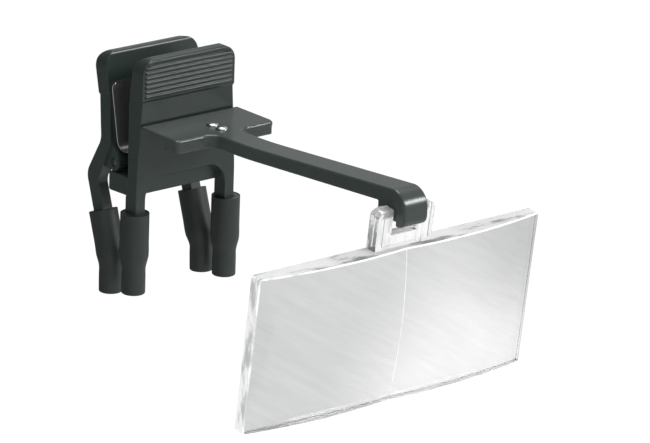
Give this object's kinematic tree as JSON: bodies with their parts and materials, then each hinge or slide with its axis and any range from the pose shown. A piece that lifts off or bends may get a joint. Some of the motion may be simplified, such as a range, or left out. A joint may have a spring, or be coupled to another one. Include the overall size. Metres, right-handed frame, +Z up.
{
  "type": "clip-on eyeglass loupe",
  "caption": "Spring clip with rubber-sleeved legs that pinches the bridge of spectacles and holds a flip-up prismatic magnifier on a long arm.",
  "frame": {"origin": "mid-point between the front and the rear rubber sleeves near their tips, on the middle plane, where the clip pinches the bridge of the spectacles", "axes": "+Z up along the upright front legs, towards the finger pads; -Y forward along the arm, away from the wearer; +X to the right seen from the lens side with the lens nearest"},
  "size_m": [0.084, 0.102, 0.0648],
  "materials": {
    "jaw_plastic": "fine matte moulding, slightly shiny",
    "arm_plastic": "fine matte moulding, slightly shiny",
    "sleeve_rubber": "soft black tube, matte",
    "spring_steel": "blank spring sheet",
    "pin_steel": "drawn wire",
    "rivet_steel": "bright domed heads",
    "clear_lens": "polished clear acrylic"
  },
  "bodies": {
    "clip": {"front_jaw": "jaw_plastic", "arm": "arm_plastic", "rivet_inner": "rivet_steel", "rivet_outer": "rivet_steel", "hinge_pin": "pin_steel", "leaf_spring": "spring_steel", "sleeve_front_left": "sleeve_rubber", "sleeve_front_right": "sleeve_rubber"},
    "rear": {"rear_jaw": "jaw_plastic", "sleeve_rear_left": "sleeve_rubber", "sleeve_rear_right": "sleeve_rubber"},
    "lens": {"lens_left": "clear_lens", "lens_right": "clear_lens"}
  },
  "joints": [
    {"name": "squeeze", "type": "hinge", "parent": "clip", "child": "rear", "pos_m": [0, 0.00386, 0.0286], "axis": [1, 0, 0], "range_deg": [0, 18], "stiffness_Nm_per_rad": 0.5, "springref_deg": -11.46, "deforming": ["leaf_spring"]},
    {"name": "lens_flip", "type": "hinge", "parent": "clip", "child": "lens", "pos_m": [0, -0.08414, 0.0385], "axis": [-1, 0, 0], "range_deg": [-10, 100]}
  ]
}
